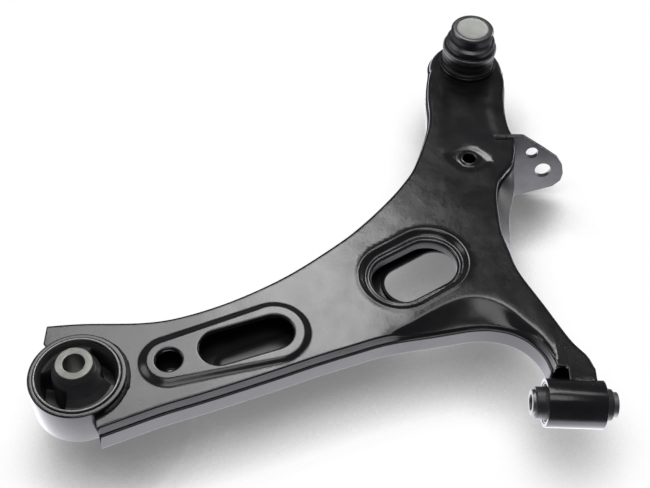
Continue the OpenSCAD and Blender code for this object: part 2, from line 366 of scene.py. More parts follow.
def coat_material(name, base, rough, specks=True):
    """Black dip coat: patches of tone, orange peel, waves and specks of dust."""
    m, nt, b = tree(name)
    v = coords(nt)
    broad = noise(nt, v, 9, 3)
    fine = noise(nt, v, 420, 3)
    grain = noise(nt, v, 1600, 2)
    patch = noise(nt, v, 38, 5, 0.65)
    dark = (base * 0.8, base * 0.82, base * 0.86)
    light = (base * 1.5, base * 1.55, base * 1.6)
    col = two_tone(nt, patch, 0.35, 0.7, dark, light)
    rg = maths(nt, "ADD", maths(nt, "MULTIPLY", patch, 0.16), rough - 0.08)
    rg = maths(nt, "ADD", rg, maths(nt, "MULTIPLY", broad, 0.06))
    if specks:
        vor = add(nt, "ShaderNodeTexVoronoi", Scale=150.0, Randomness=1.0)
        nt.links.new(v, vor.inputs["Vector"])
        dot = ramp(nt, vor.outputs["Distance"], [(0.0, grey(1)), (0.035, grey(1)), (0.07, grey(0))])
        some = ramp(nt, noise(nt, v, 60, 2), [(0.56, grey(0)), (0.62, grey(1))])
        dust = mix(nt, some, (0.0, 0.0, 0.0), dot)
        col = mix(nt, maths(nt, "MULTIPLY", dust, 0.5), col, (0.30, 0.30, 0.29))
    nt.links.new(col, b.inputs["Base Color"])
    nt.links.new(rg, b.inputs["Roughness"])
    b.inputs["IOR"].default_value = 1.5
    wave = noise(nt, v, 24, 2, 0.4)
    h = maths(nt, "ADD", maths(nt, "MULTIPLY", fine, 0.6), maths(nt, "MULTIPLY", grain, 0.25))
    h = maths(nt, "ADD", h, maths(nt, "MULTIPLY", wave, 9.0))
    bump(nt, b, h, 0.25, 0.0003)
    return m


def weld_material(name):
    """Rough coated weld metal."""
    m, nt, b = tree(name)
    v = coords(nt)
    n1 = noise(nt, v, 500, 5, 0.7)
    n2 = noise(nt, v, 180, 4, 0.6)
    col = two_tone(nt, n2, 0.4, 0.75, (0.014, 0.014, 0.015), (0.06, 0.06, 0.058))
    nt.links.new(col, b.inputs["Base Color"])
    nt.links.new(maths(nt, "ADD", maths(nt, "MULTIPLY", n1, 0.3), 0.15), b.inputs["Roughness"])
    bump(nt, b, maths(nt, "ADD", n1, n2), 0.7, 0.0006)
    return m


def steel_material(name, tint, rough, rings=0.0, axis="z"):
    """Bare or plated steel; rings adds the marks of turning round an axis through the origin."""
    m, nt, b = tree(name)
    v = coords(nt)
    n1 = noise(nt, v, 260, 5, 0.65)
    n2 = noise(nt, v, 40, 4, 0.6)
    dark = tuple(c * 0.72 for c in tint)
    nt.links.new(two_tone(nt, n2, 0.3, 0.75, dark, tint), b.inputs["Base Color"])
    nt.links.new(maths(nt, "ADD", maths(nt, "MULTIPLY", n1, 0.25), rough - 0.1), b.inputs["Roughness"])
    b.inputs["Metallic"].default_value = 1.0
    h = n1
    if rings > 0:
        sep = add(nt, "ShaderNodeSeparateXYZ")
        nt.links.new(v, sep.inputs[0])
        da, db = (sep.outputs[k] for k in ((0, 1) if axis == "z" else (1, 2)))
        square = maths(nt, "ADD", maths(nt, "MULTIPLY", da, da), maths(nt, "MULTIPLY", db, db))
        rr = maths(nt, "SQRT", square)
        wave = maths(nt, "SINE", maths(nt, "MULTIPLY", rr, rings))
        h = maths(nt, "ADD", maths(nt, "MULTIPLY", wave, 0.4), n1)
    bump(nt, b, h, 0.25, 0.0002)
    return m


def rubber_material(name, base, rough):
    """Moulded rubber with a fine grain."""
    m, nt, b = tree(name)
    v = coords(nt)
    n1 = noise(nt, v, 700, 4, 0.7)
    n2 = noise(nt, v, 55, 5, 0.6)
    dark = (base * 0.7, base * 0.7, base * 0.75)
    light = (base * 1.6, base * 1.6, base * 1.7)
    nt.links.new(two_tone(nt, n2, 0.35, 0.7, dark, light), b.inputs["Base Color"])
    nt.links.new(maths(nt, "ADD", maths(nt, "MULTIPLY", n2, 0.25), rough - 0.12), b.inputs["Roughness"])
    bump(nt, b, n1, 0.3, 0.00025)
    return m


COAT = coat_material("black_dip_coat", base=0.009, rough=0.145)
# Copy of the coat for the lower shell with a lifted base colour: painted light, standing in for the light its
# flange catches from below.
COAT_LOW_PAINTED_LIGHT = coat_material("black_dip_coat_lower_painted_light", base=0.02, rough=0.30)
WELD = weld_material("coated_weld")
# Darker, barely reflective copy of the coat for the walls inside the oval window: painted shade for the
# hollow.
WINDOW_SHADE_COAT = coat_material("window_wall_painted_shade", base=0.008, rough=0.5, specks=False)
WINDOW_SHADE_COAT.node_tree.nodes["Principled BSDF"].inputs["Specular IOR Level"].default_value = 0.2
# Copy of the coat with a much lighter base for the bracket: painted light, standing in for the grey sheen on
# its face.
BRACKET_LIT_COAT = coat_material("bracket_coat_painted_light", base=0.06, rough=0.30)
HOUSING = steel_material("dark_housing", (0.17, 0.17, 0.175), 0.30)
BAND = steel_material("band_steel", (0.33, 0.33, 0.33), 0.34)
SLEEVE = steel_material("sleeve_steel", (0.30, 0.30, 0.28), 0.46, rings=9000)
SLEEVE_F = steel_material("front_sleeve_steel", (0.26, 0.26, 0.255), 0.42, rings=9000, axis="x")
LIP = steel_material("bright_lip", (0.30, 0.30, 0.29), 0.40)
PLATE = steel_material("end_plate_steel", (0.50, 0.51, 0.48), 0.50)
STUD = steel_material("ball_steel", (0.6, 0.6, 0.6), 0.22)
ZINC = steel_material("plated_steel", (0.52, 0.51, 0.46), 0.38)
RUBBER = rubber_material("bush_rubber", 0.026, 0.40)
BOOT = rubber_material("boot_rubber", 0.016, 0.36)
LINER = rubber_material("liner_plastic", 0.5, 0.5)

# ---------------------------------------------------------------- outlines of the arm (mm)
FRONT_COMMON = [
    [20, -42], [36, -34.5], [64, -21.5], [93, -10], [122, 2], [152, 14.8], [182, 28], [208, 38.5],
]
FRONT_CREST = [
    [228, 46.5], [246, 56.5], [269, 74.5], [286, 85.5], [303, 90.5], [319, 89], [334, 80],
    [347, 65], [358, 51], [365, 38], [366, 26],
]
FRONT_LIP = [
    [228, 46.3], [246, 51.6], [269, 56.5], [286, 60.5], [303, 64.3], [319, 65.5], [334, 63],
    [346, 57.5], [355, 49.5], [362, 39], [366, 26],
]
OUTER_LOW = [[394, 26], [390, 36], [378.5, 51], [361, 84.5], [344, 117]]
OUTER_CREST = [
    [338, 139], [333.5, 159], [332.5, 178], [332.7, 201], [336, 218.5], [343, 231], [350, 242],
    [353.5, 258], [353.5, 272],
]
OUTER_FLARE = [
    [342, 139], [343, 159], [344, 178], [345.5, 197], [349, 214], [352.5, 231], [353.5, 245],
    [353.5, 258], [353.5, 272],
]
OUTER_HIGH = [[350, 286], [348.5, 304], [349, 324], [351, 345], [351.5, 365]]
BACK = [
    [284.5, 365], [281.5, 345], [280, 322], [280.5, 298], [276.5, 272], [264, 232], [252, 209],
    [237, 187], [217, 162], [196, 140], [156, 105.5], [115, 79], [76, 61], [44, 53], [-4, 50],
    [-31.5, 46.5],
]
HEAD = (318.0, 371.0)
SHEET = 3.0
SMALL, SLOT_A, SLOT_B = (66.5, 18.5), (104.5, 31.5), (145.5, 47.5)
OVAL_A, OVAL_B = (246.5, 107.5), (271, 124)
LOW_A, LOW_B = (254, 115), (280, 133)
LOCATE = (312, 244)


def shell_loop(scooped, d):
    """Outer loop of a shell: points, fillet radius, and 1 where the wall goes down to the lip."""
    parts = []

    def put(p, rf, foot, step=1.6):
        p = resample(p, step)
        rf = np.full(len(p), float(rf)) if np.isscalar(rf) else rf(p)
        parts.append((p, rf, np.full(len(p), float(foot))))

    def front_fillet(p):
        gap = 1.4 * ease(p[:, 0], 200, 236) * (1 - ease(p[:, 0], 350, 362))
        return 1.3 + 0.2 * gap

    def round_head(p):
        return 2.6 + 9.4 * ease(p[:, 1], 346, 378)

    front = shift(smooth(FRONT_COMMON + (FRONT_CREST if scooped else FRONT_LIP)), d)
    outer = shift(smooth(OUTER_LOW + OUTER_CREST + OUTER_HIGH), d)
    head = arc(HEAD, HEAD_R + d, -9, 189, 60)
    back = shift(smooth(BACK), d)
    put(front, front_fillet, 1)
    saddle = [[366 - d, 26], [376 - d, 26], [376 - d, 12], [394 + d, 12], [394 + d, 24]]
    put(np.array([front[-1]] + saddle), 0.4, 0)
    put(outer, round_head, 1)
    put(head, round_head, 1)
    put(back, round_head, 1)
    round_ring = arc((0, 0), RING_R, 136, -62, 70)
    put(np.vstack([back[-1:], [[-31.5, 30]], round_ring, front[:1]]), 0.4, 0)
    p = np.vstack([x[0] for x in parts])
    rf = np.concatenate([x[1] for x in parts])
    foot = np.concatenate([x[2] for x in parts])
    keep = np.linalg.norm(p - np.roll(p, 1, 0), axis=1) > 0.25
    return p[keep], rf[keep], foot[keep]


GRID = 3.2         # spacing of the plain points of a pressed face


def band(loop, offsets):
    """Points on rings parallel to a closed loop."""
    return np.vstack([shift(loop, o, True) for o in offsets])


def pressed(loop, rf, foot_z, height, holes, extra, wall_to, flip=1):
    """A pressed sheet: a height field with filleted edges, side walls and holes.
    holes: (loop, fillet, depth). extra: feature points. wall_to: outline that the wall's foot reaches."""
    n_in = normals(loop, True)
    b0 = loop - n_in * rf[:, None]
    pts = [b0]
    cons = []
    hole_rings = []
    for hl, hf, depth in holes:
        edge = shift(hl, hf, True)
        hole_rings.append((hl, edge, hf, depth))
        pts.append(edge)
    offs = np.cumsum([0] + [len(p) for p in pts])
    for k, p in enumerate(pts):
        n = len(p)
        cons += [(offs[k] + i, offs[k] + (i + 1) % n) for i in range(n)]
    fixed = np.vstack(pts)
    lo, hi = loop.min(0), loop.max(0)
    gx, gy = np.meshgrid(np.arange(lo[0], hi[0], GRID), np.arange(lo[1], hi[1], GRID))
    gx = gx + (np.arange(gx.shape[0]) % 2)[:, None] * (GRID / 2)
    g = np.stack([gx.ravel(), gy.ravel()], 1)
    beside_holes = [band(e, [1.0, 2.4]) for _, e, _, _ in hole_rings]
    feats = np.vstack(extra + [band(b0, [-1.4, -3.0])] + beside_holes)

    def clean(q, gap, ref):
        q = q[inside(q, b0)]
        for _, e, _, _ in hole_rings:
            q = q[~inside(q, e)]
        d = np.full(len(q), 1e9)
        for lo_ in range(0, len(ref), 400):
            d = np.minimum(d, np.linalg.norm(q[:, None] - ref[None, lo_:lo_ + 400], axis=2).min(1))
        return q[d > gap]

    feats = clean(feats, 0.55, fixed)
    keep = []
    cell = {}
    for i, (x, y) in enumerate(feats):
        key = (int(x / 0.5), int(y / 0.5))
        around = [(key[0] + a, key[1] + b) for a in (-1, 0, 1) for b in (-1, 0, 1)]
        if any(k in cell and np.hypot(*(feats[cell[k]] - feats[i])) < 0.45 for k in around):
            continue
        cell[key] = i
        keep.append(i)
    feats = feats[keep]
    g = clean(g, 1.5, np.vstack([fixed, feats]))
    allp = np.vstack([fixed, feats, g])
    edges = [(int(a), int(b)) for a, b in cons]
    v2, _, f2, ov, _, _ = delaunay_2d_cdt([Vector(p) for p in allp], edges, [], 0, 1e-6)
    v2 = np.array([list(v) for v in v2])
    where = {}
    for i, src in enumerate(ov):
        for s in src:
            where[s] = i
    tri = np.array([list(f) for f in f2])
    c = v2[tri].mean(1)
    ok = inside(c, b0)
    for _, e, _, _ in hole_rings:
        ok &= ~inside(c, e)
    tri = tri[ok]
    u, w = v2[tri[:, 1]] - v2[tri[:, 0]], v2[tri[:, 2]] - v2[tri[:, 0]]
    area = u[:, 0] * w[:, 1] - u[:, 1] * w[:, 0]
    tri = tri[np.abs(area) > 1e-7]
    area = area[np.abs(area) > 1e-7]
    tri[area < 0] = tri[area < 0][:, ::-1]
    z = height(v2)
    verts = [np.column_stack([v2, z])]
    faces = [tuple(t) for t in tri]
    count = len(v2)

    def strip(first, rings, outward):
        nonlocal count
        n = len(first)
        prev = list(first)
        for r in rings:
            verts.append(r)
            cur = list(range(count, count + n))
            count += n
            for i in range(n):
                j = (i + 1) % n
                q = (prev[i], cur[i], cur[j], prev[j])
                faces.append(q if outward else q[::-1])
            prev = cur

    first = [where[i] for i in range(len(b0))]
    zt = z[first]
    rings = []
    for k in range(1, 7):
        a = math.radians(15 * k)
        xy = b0 + (loop - b0) * math.sin(a)
        rz = np.minimum(rf, np.maximum(zt - foot_z - 0.3, 0.2))
        rings.append(np.column_stack([xy, zt - rz * (1 - math.cos(a))]))
    last = rings[-1]
    for t in (0.08, 0.33, 0.66, 0.95, 1.0):
        xy = loop + (wall_to - loop) * t
        rings.append(np.column_stack([xy, last[:, 2] + (foot_z - last[:, 2]) * t]))
    strip(first, rings, True)
    for k, (hl, e, hf, depth) in enumerate(hole_rings):
        first = [where[offs[k + 1] + i] for i in range(len(e))]
        zt = z[first]
        rings = []
        for s in range(1, 5):
            a = math.radians(22.5 * s)
            rings.append(np.column_stack([e + (hl - e) * math.sin(a), zt - hf * (1 - math.cos(a))]))
        if depth > 0:
            rings.append(np.column_stack([hl, zt - hf - depth]))
        strip(first, rings, False)
    v = np.vstack(verts)
    if flip < 0:
        v[:, 2] *= -1
        faces = [f[::-1] for f in faces]
    return v, faces


def paint_window_wall_shade(o, a, b, r):
    """Darker, less reflective coat on the wall inside the oval window: painted shade for the hollow."""
    o.data.materials.append(WINDOW_SHADE_COAT)
    centre = np.array([p.center for p in o.data.polygons]) / MM
    wall = cap_sdf(centre[:, :2], a, b, r) < 0.7
    o.data.polygons.foreach_set("material_index", wall.astype(np.int32))


def thicken(o, sheet):
    """Gives a shell its metal, on the inner side of its skin."""
    m = o.modifiers.new("sheet", "SOLIDIFY")
    m.thickness = sheet * MM
    m.offset = -1
    m.use_even_offset = False


# ---------------------------------------------------------------- upper shell
SKIRT = 1.6        # how far the upper wall's foot stands outside the CAD outline
U_LOOP, _, _ = shell_loop(True, 1.2)
S_LOOP, S_RF, S_FOOT = shell_loop(False, SKIRT)
PAD_TOP, PAD_FOOT = (16.5, 24.3), (23.5, 29.5)
LIP_Z = 4.0
DISH_A, DISH_B = (246, 108.5), (270.5, 126)


def drop(loop):
    """The lip dips where it runs round the head."""
    return 4.0 * ease(loop[:, 1], 346, 382)


def diamond(q):
    """Below 1 inside the sunk diamond round the gauge hole."""
    d = q - np.array(LOCATE)
    a = math.radians(-8)
    x = d[:, 0] * math.cos(a) + d[:, 1] * math.sin(a)
    y = -d[:, 0] * math.sin(a) + d[:, 1] * math.cos(a)
    return (np.abs(x / 19.0) ** 1.5 + np.abs(y / 14.0) ** 1.5) ** (1 / 1.5)


def upper_height(q):
    """Height of the upper shell's face above the seam."""
    h = np.full(len(q), TOP)
    top = cap_sdf(q, SMALL, SLOT_B, *PAD_TOP)
    foot = cap_sdf(q, SMALL, SLOT_B, *PAD_FOOT)
    t = np.clip(top / np.maximum(top - foot, 1e-6), 0, 1)
    h += 2.5 * (1 - 0.35 * t - 0.65 * ease(t, 0, 1))
    dish = cap_sdf(q, DISH_A, DISH_B, DISH_R)
    h -= 2.8 * (1 - ease(dish, -4.0, 2.2))
    h += 0.5 * np.exp(-((dish - 2.6) / 1.6) ** 2)
    rim = cap_sdf(q, OVAL_A, OVAL_B, WINDOW_R)
    h += 1.0 * np.exp(-((rim - 2.6) / 1.7) ** 2)
    dm = diamond(q)
    h -= 1.0 * (1 - ease(dm, 0.82, 1.12))
    lr = np.linalg.norm(q - np.array(LOCATE), axis=1)
    h += 1.4 * (1 - ease(lr, 6.6, 9.6))
    # scoop pressed into the front edge
    s_in = seg_dist(q, S_LOOP)
    u_d = seg_dist(q, U_LOOP) * np.where(inside(q, U_LOOP), -1, 1)
    near = (q[:, 0] > 205) & (q[:, 0] < 366) & (q[:, 1] < 125)
    soft = 0.5 * (u_d + np.sqrt(u_d ** 2 + 1.8 ** 2))
    t = soft / np.maximum(soft + s_in, 1e-6)
    gap = ease(u_d + s_in, 0.3, 5.0)
    h -= np.where(near, 7.6 * (1 - (1 - t) ** 1.4) * gap, 0)
    # slight hollow along the neck
    neck = ease(q[:, 1], 262, 288) * (1 - ease(q[:, 1], 335, 352))
    edge = ease(s_in, 9, 20)
    h -= 0.7 * neck * edge
    return h


pad_loop = capsule(SMALL, SLOT_B, PAD_TOP[0], PAD_TOP[1], 1.5)
dish_loop = capsule(DISH_A, DISH_B, DISH_R, None, 1.5)
crest = resample(smooth(FRONT_COMMON + FRONT_CREST), 1.5)
crest = crest[(crest[:, 0] > 200) & (crest[:, 1] > 28)]
turn = np.radians(np.arange(0, 360, 4))
round_gauge = np.stack([17 * np.cos(turn), 12 * np.sin(turn)], 1)
dia = np.vstack([np.array(LOCATE) + k * round_gauge for k in (0.7, 0.85, 1.0, 1.15)])
CREST_ROWS = (-8, -6.2, -4.6, -3.2, -2, -0.9, 0.2, 1.3, 2.5, 4, 6, 8.5, 11, 14, 17, 20, 23)
extra = [
    band(pad_loop, [-1.2, -0.4, 0.4, 1.3, 2.3, 3.4, 4.6, 5.8, 7, 8.2, 9.4, 10.6]),
    band(dish_loop, [-4.6, -3.6, -2.6, -1.6, -0.6, 0.4, 1.4, 2.4, 3.4, 4.6]),
    np.vstack([shift(crest, d) for d in CREST_ROWS]),
    dia,
]
holes = [
    (circle_loop(SMALL, SMALL_R), 1.8, 1.7),
    (capsule(SLOT_A, SLOT_B, 15.75, None, 1.2), 1.8, 1.7),
    (capsule(OVAL_A, OVAL_B, WINDOW_R, None, 1.2), 2.2, 7.0),
    (circle_loop(LOCATE, LOCATE_R, 0.8), 1.0, 2.0),
]
front_line = shift(smooth(FRONT_COMMON + FRONT_LIP), SKIRT)
DRAFT = SKIRT * S_FOOT * (1 - ease(seg_dist(S_LOOP, front_line, False), 0.5, 6.0))
T_LOOP = S_LOOP - normals(S_LOOP, True) * DRAFT[:, None]
upper_foot = np.where(S_FOOT > 0, LIP_Z - 0.5 - drop(S_LOOP), 10.0)
v, f = pressed(T_LOOP, S_RF, upper_foot, upper_height, holes, extra, S_LOOP)
upper = make("upper_shell_skin", v, f, COAT, "arm", "upper_shell")
paint_window_wall_shade(upper, OVAL_A, OVAL_B, WINDOW_R)
thicken(upper, 2.4)

# ---------------------------------------------------------------- lower shell
L_LOOP, L_RF, L_FOOT = shell_loop(False, SHEET)
RIB_A, RIB_B = (110, 32), (200, 75)


def flare_target(loop):
    """Outline of the lower shell's face, which stands apart from its lip beside the neck."""
    crest_ = shift(smooth(OUTER_LOW + OUTER_CREST + OUTER_HIGH), SHEET)
    flare_ = shift(smooth(OUTER_LOW + OUTER_FLARE + OUTER_HIGH), SHEET)
    out = loop.copy()
    near = (loop[:, 0] > 325) & (loop[:, 1] > 118) & (loop[:, 1] < 268)
    q = loop[near]
    if len(q):
        k = np.argmin(np.linalg.norm(q[:, None] - crest_[None], axis=2), 1)
        out[near] = q + (flare_[k] - crest_[k])
    return out


LB_LOOP = flare_target(L_LOOP)


def lower_height(q):
    """Depth of the lower shell's face below the seam."""
    h = np.full(len(q), TOP)
    rim = cap_sdf(q, LOW_A, LOW_B, LOW_WINDOW_R)
    h -= 1.6 * (1 - ease(rim, 2, 9))
    sm = np.linalg.norm(q - np.array(SMALL), axis=1)
    h -= 1.2 * (1 - ease(sm, 8, 13))
    rib = cap_sdf(q, RIB_A, RIB_B, 9)
    h -= 1.8 * (1 - ease(rib, -4, 2))
    return h


low_holes = [
    (circle_loop(SMALL, 6.5), 1.2, 1.6),
    (capsule(LOW_A, LOW_B, LOW_WINDOW_R, None, 1.2), 2.0, 3.0),
]
low_extra = [
    band(capsule(RIB_A, RIB_B, 9, None, 1.5), [-5, -3.6, -2.2, -0.8, 0.8, 2.2, 3.6]),
    band(capsule(LOW_A, LOW_B, LOW_WINDOW_R, None, 1.5), [4.5, 6, 7.5, 9, 10.5]),
]
lower_foot = np.where(L_FOOT > 0, drop(L_LOOP) - LIP_Z, 10.0)
v, f = pressed(LB_LOOP, L_RF, lower_foot, lower_height, low_holes, low_extra, L_LOOP, flip=-1)
lower = make("lower_shell_skin", v, f, COAT_LOW_PAINTED_LIGHT, "arm", "lower_shell")
paint_window_wall_shade(lower, LOW_A, LOW_B, LOW_WINDOW_R)
thicken(lower, 2.8)

# ---------------------------------------------------------------- rear bush
def pipe(r_in, r_out, lo, hi):
    """Profile of a plain tube."""
    return [[r_in, lo], [r_out, lo], [r_out, hi], [r_in, hi]]


spin("rear_ring", pipe(33, 37, -17, 19), COAT, "arm", "rear_bush_ring", r=0.9)
spin("rear_outer_sleeve", pipe(30.8, 33, -18, 20.5), LIP,
     "arm", "rear_bush_outer_sleeve", r=1.0)
spin("rear_inner_sleeve", pipe(8.2, 14.1, -35, 35), SLEEVE,
     "rear_sleeve", "rear_bush_inner_sleeve", r=0.6)


def rear_rubber():
    """Moulded rubber: a cone from the inner sleeve to the outer one, with two kidney voids."""
    n, m_ = 200, 60
    a = np.linspace(0, 2 * np.pi, n, endpoint=False)
    knots = [14.2, 15.2, 17.0, 21.5, 26.0, 28.5, 30.7]
    r_in, r_out = knots[0], knots[-1]
    s = np.linspace(0, 1, m_)
    r = r_in + (r_out - r_in) * s
    deg = np.degrees(a)

    def top(rr, dd):
        base = np.interp(rr, knots, [29.5, 28.6, 25.5, 18.5, 14.0, 13.6, 17.4])
        void = np.zeros_like(rr)
        for c in (35.0, 215.0):
            da = np.abs((dd - c + 180) % 360 - 180)
            across = ease(rr, 18.2, 19.6) * (1 - ease(rr, 27.2, 28.4))
            void = np.maximum(void, across * (1 - ease(da, 38, 44)))
        return base * (1 - void) + (-6.0) * void

    R, D = np.meshgrid(r, deg)
    A = np.radians(D)
    Zt = top(R, D)
    Zb = -np.interp(R, knots, [29.0, 28.0, 25.0, 18.0, 14.0, 13.4, 15.0])
    vt = np.stack([R * np.cos(A), R * np.sin(A), Zt], 2).reshape(-1, 3)
    vb = np.stack([R * np.cos(A), R * np.sin(A), Zb], 2).reshape(-1, 3)
    faces = []
    N = n * m_
    for i in range(n):
        j = (i + 1) % n
        for k in range(m_ - 1):
            faces.append((i * m_ + k, i * m_ + k + 1, j * m_ + k + 1, j * m_ + k))
            low = (N + i * m_ + k, N + j * m_ + k, N + j * m_ + k + 1, N + i * m_ + k + 1)
            faces.append(low)
        faces.append((i * m_, j * m_, N + j * m_, N + i * m_))
        p, q = i * m_ + m_ - 1, j * m_ + m_ - 1
        faces.append((p, N + p, N + q, q))
    return np.vstack([vt, vb]), faces


def radial_blend(o):
    """Bakes the rubber's placement into its mesh."""
    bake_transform(o)


v, f = rear_rubber()
o = make("rear_rubber", v, f, RUBBER, None, "rear_bush_rubber")
radial_blend(o)

# ---------------------------------------------------------------- front bush
FRONT = (FRONT_X, 0, 0)
spin("front_tube", pipe(16, 18.9, -22.5, 22.5), COAT,
     "arm", "front_bush_tube", FRONT, "x", r=0.6)
spin("front_outer_sleeve", pipe(14.5, 16, -22, 22), LIP,
     "arm", "front_bush_outer_sleeve", FRONT, "x", r=0.5)
spin("front_inner_sleeve", pipe(6.15, 10, -33, 33), SLEEVE_F,
     "front_sleeve", "front_bush_inner_sleeve", FRONT, "x", r=0.5)
front_profile = [
    [10.1, -30.5], [12.4, -30.5], [12.6, -24], [14.4, -20.5],
    [14.4, 20.5], [12.6, 24], [12.2, 29], [10.1, 29],
]
front_rounding = [0.3, 1.6, 1.5, 0.6, 0.6, 1.5, 2.2, 0.3]
v, f = lathe(rounded(front_profile, front_rounding), FRONT, "x")
o = make("front_rubber", v, f, RUBBER, None, "front_bush_rubber", 60)
radial_blend(o)

# ---------------------------------------------------------------- bracket
def plate_from_curve(name, loops, thick, material, body, node, matrix):
    """A flat plate with holes and softened edges. loops: its outline, then its holes."""
    bevel = 0.45
    cu = bpy.data.curves.new(name, "CURVE")
    cu.dimensions = "2D"
    cu.fill_mode = "BOTH"
    cu.extrude = (thick / 2 - bevel) * MM
    cu.bevel_depth = bevel * MM
    cu.bevel_resolution = 3
    cu.offset = -bevel * MM
    for p in loops:
        s = cu.splines.new("POLY")
        s.points.add(len(p) - 1)
        for k, (x, y) in enumerate(p):
            s.points[k].co = (x * MM, y * MM, 0, 1)
        s.use_cyclic_u = True
    tmp = bpy.data.objects.new(name + "_tmp", cu)
    bpy.context.scene.collection.objects.link(tmp)
    dg = bpy.context.evaluated_depsgraph_get()
    me = bpy.data.meshes.new_from_object(tmp.evaluated_get(dg))
    bpy.data.objects.remove(tmp)
    me.transform(matrix)
    me.name = name
    o = bpy.data.objects.new(name, me)
    bpy.context.scene.collection.objects.link(o)
    me.materials.clear()
    me.materials.append(material)
    me.shade_smooth()
    me.set_sharp_from_angle(angle=math.radians(40))
    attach(o, body)
    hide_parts(node)


def hole_in_plate(c, r, n=48):
    return arc(c, r, 0, 360 - 360 / n, n - 1)[::-1]


BRACKET_Y = 272
BRACKET_T = 5.0
BRACKET_TILT = 78  # degrees from lying flat
at_neck = Matrix.Translation((0, BRACKET_Y * MM, TOP * MM))
tilted = Matrix.Rotation(math.radians(BRACKET_TILT), 4, "X")
to_middle = Matrix.Translation((0, 0, -BRACKET_T / 2 * MM))
bracket_corners = [
    [336, 0.5], [364, 1], [385, -12], [399, -21.5], [404, -28], [406.5, -38],
    [405.5, -46], [399, -53], [365, -66], [348, -60], [336, -48],
]
bracket_outline = rounded(bracket_corners, [1, 5, 6, 6, 6, 6, 5, 5, 3, 3, 3], n=6)
bracket_holes = [hole_in_plate((374, -16), 5.5), hole_in_plate((387, -35), 7.25)]
plate_from_curve("side_bracket", [bracket_outline] + bracket_holes, BRACKET_T, BRACKET_LIT_COAT,
                 "arm", "stabiliser_bracket", at_neck @ tilted @ to_middle)

# ---------------------------------------------------------------- welds
def weld(name, path, up, out, size, node, seed, pitch=2.6):
    """A rippled bead. path: points; up and out: unit vectors of the corner that it fills; size: leg length."""
    r = np.random.default_rng(seed)
    path = np.array(path, float)
    seg = np.concatenate([[0], np.cumsum(np.linalg.norm(np.diff(path, axis=0), axis=1))])
    n = max(8, int(seg[-1] / 0.45))
    t = np.linspace(0, seg[-1], n)
    P = np.stack([np.interp(t, seg, path[:, k]) for k in range(3)], 1)
    U = np.stack([np.interp(t, seg, up[:, k]) for k in range(3)], 1)
    O = np.stack([np.interp(t, seg, out[:, k]) for k in range(3)], 1)
    knots = np.arange(0, seg[-1] + 6, 3.0)
    wob = np.interp(t, knots, r.normal(0, 1, len(knots)))
    ph = (t / pitch) % 1
    ripple = 1 - 0.16 * (1 - ph) ** 2 + 0.07 * wob
    taper = np.minimum(1, np.minimum(t, seg[-1] - t) / 2.2 + 0.25)
    L = size * ripple * taper
    m_ = 9
    verts, faces = [], []
    for i in range(n):
        for k in range(m_):
            a = math.pi / 2 * k / (m_ - 1)
            bulge = 0.80 + 0.16 * math.sin(2 * a) ** 2
            way = O[i] * math.cos(a) + U[i] * math.sin(a)
            crown = 1.15 if 0 < k < m_ - 1 else 1.0
            verts.append(P[i] + way * L[i] * bulge / max(math.cos(a) + math.sin(a), 1e-6) * crown)
        verts.append(P[i])
    M = m_ + 1
    for i in range(n - 1):
        for k in range(M):
            l = (k + 1) % M
            faces.append((i * M + k, (i + 1) * M + k, (i + 1) * M + l, i * M + l))
    faces.append(tuple(range(M)))
    faces.append(tuple((n - 1) * M + k for k in range(M))[::-1])
    make(name, verts, faces, WELD, "arm", node)


def ring_bead(name, z, s, node, seed):
    """Weld between the rear ring and a shell; s is 1 above and -1 below."""
    a = np.radians(np.linspace(-50, 122, 140))
    rad = np.stack([np.cos(a), np.sin(a), 0 * a], 1)
    path = rad * 36.9 + np.array([0, 0, z])
    weld(name, path, np.tile([0, 0, s], (140, 1)), rad, 3.6, node, seed)


ring_bead("ring_bead_top", TOP, 1.0, "ring_weld_upper", 3)
ring_bead("ring_bead_bottom", -TOP, -1.0, "ring_weld_lower", 4)


def tube_bead(name, s, node, seed):
    """Weld between the front tube and a shell; s is 1 above and -1 below."""
    x = np.linspace(376.8, 393.5, 40)
    y = math.sqrt(18.9 ** 2 - TOP ** 2)
    th = math.atan2(TOP, y)
    tan = np.array([0, -math.sin(th), s * math.cos(th)])
    out = np.array([0, 0.97, 0.1 * s])
    path = np.stack([x, np.full_like(x, y - 0.4), np.full_like(x, s * 12.9)], 1)
    out = out / np.linalg.norm(out)
    weld(name, path, np.tile(tan, (40, 1)), np.tile(out, (40, 1)), 4.6, node, seed, pitch=3.0)


tube_bead("tube_bead_top", 1, "tube_weld_upper", 5)
tube_bead("tube_bead_bottom", -1, "tube_weld_lower", 6)
along = np.linspace(337, 352, 30)
root = np.stack([along, np.full_like(along, 271.6), np.full_like(along, 12.9)], 1)
up_plate = np.tile([0, 0.1, 1.0], (30, 1))
over_shell = np.tile([0, -1.0, 0.0], (30, 1))
weld("bracket_bead", root, up_plate, over_shell, 4.2, "bracket_weld", 8, pitch=3.6)

# ---------------------------------------------------------------- ball joint
BC = (BALL[0], BALL[1], BALL_Z)
housing_profile = [
    [15.2, -10], [20.3, -10], [20.5, -3.6], [22.9, -2.2], [22.9, 3.2], [19.4, 4.6],
    [19.0, 7.4], [20.0, 9.0], [20.0, 15.2], [18.6, 16.8], [15.2, 17.0], [15.2, 16.2],
    [15.9, 16.0], [14.6, 13.8], [14.5, 0.2], [13.6, -5.0], [11.8, -8.4],
]
housing_rounding = [
    0.5, 0.8, 0.8, 1.2, 1.2, 0.8, 1.6, 1.6, 1.8,
    1.2, 0.3, 0.2, 0.2, 0.2, 0.2, 0.6, 0.4,
]
spin("housing", housing_profile, HOUSING,
     "ball_housing", "ball_joint_housing", BC, r=housing_rounding, sharp=50)
plate_profile = [
    [0, 14], [15.9, 14], [15.9, 16.1], [15.0, 16.3], [14.6, 16.75], [12.5, 16.5], [0, 16.4],
]
